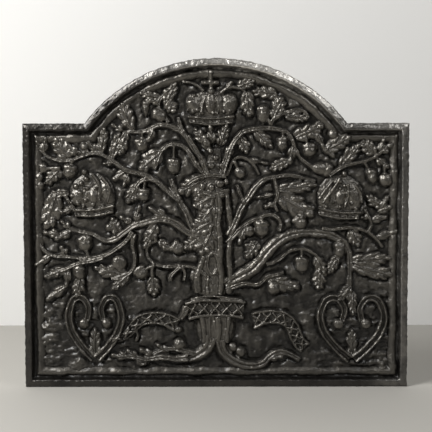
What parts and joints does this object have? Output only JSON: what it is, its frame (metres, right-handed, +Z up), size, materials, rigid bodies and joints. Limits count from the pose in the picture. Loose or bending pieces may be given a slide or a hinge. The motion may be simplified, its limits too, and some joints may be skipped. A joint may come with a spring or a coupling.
{
  "type": "fireback",
  "caption": "Cast-iron fireback: an arched plate with a moulded rim and an oak tree, crowns, ribbons and heart-shaped scrolls in relief; it stands on its bottom edge behind a fire.",
  "frame": {"origin": "centre of the footprint, on the surface that the bottom edge stands on", "axes": "+X to the viewer's right along the width, +Y from the decorated face to the flat back, +Z up"},
  "size_m": [0.79, 0.028, 0.6758],
  "materials": {
    "cast_iron": "sand-cast iron, blackened and waxed, with a dull sheen on the high places",
    "rubbed_iron": "the same iron where the rim is rubbed smoother and greyer"
  },
  "bodies": {
    "root": {"back_plate": "cast_iron", "bead_arch_left": "cast_iron", "bead_arch_right": "cast_iron", "bead_arch_top": "cast_iron", "bead_bottom": "cast_iron", "bead_left": "cast_iron", "bead_left_shoulder": "cast_iron", "bead_right": "cast_iron", "bead_right_shoulder": "cast_iron", "collar": "cast_iron", "crown_twig": "cast_iron", "left_arch_spray": "cast_iron", "left_crown": "cast_iron", "left_curled_branch": "cast_iron", "left_edge_acorns": "cast_iron", "left_edge_leaves": "cast_iron", "left_hanging_twig": "cast_iron", "left_inner_bough": "cast_iron", "left_long_bough": "cast_iron", "left_lower_bough": "cast_iron", "left_middle_bough": "cast_iron", "left_ribbon": "cast_iron", "left_root": "cast_iron", "left_scroll": "cast_iron", "left_top_bough": "cast_iron", "right_arch_spray": "cast_iron", "right_crown": "cast_iron", "right_curly_leaf": "cast_iron", "right_edge_leaves": "cast_iron", "right_great_bough": "cast_iron", "right_inner_bough": "cast_iron", "right_long_bough": "cast_iron", "right_looped_branch": "cast_iron", "right_lower_bough": "cast_iron", "right_middle_bough": "cast_iron", "right_outer_bough": "cast_iron", "right_ribbon": "cast_iron", "right_ring_twig": "cast_iron", "right_root": "cast_iron", "right_scroll": "cast_iron", "right_shoulder_spray": "cast_iron", "right_top_bough": "cast_iron", "rim_arch_left": "rubbed_iron", "rim_arch_right": "rubbed_iron", "rim_arch_top": "rubbed_iron", "rim_bottom": "rubbed_iron", "rim_left": "rubbed_iron", "rim_left_shoulder": "rubbed_iron", "rim_right": "rubbed_iron", "rim_right_shoulder": "rubbed_iron", "top_crown": "cast_iron", "top_spray": "cast_iron", "trunk": "cast_iron", "trunk_foot": "cast_iron"}
  },
  "joints": []
}
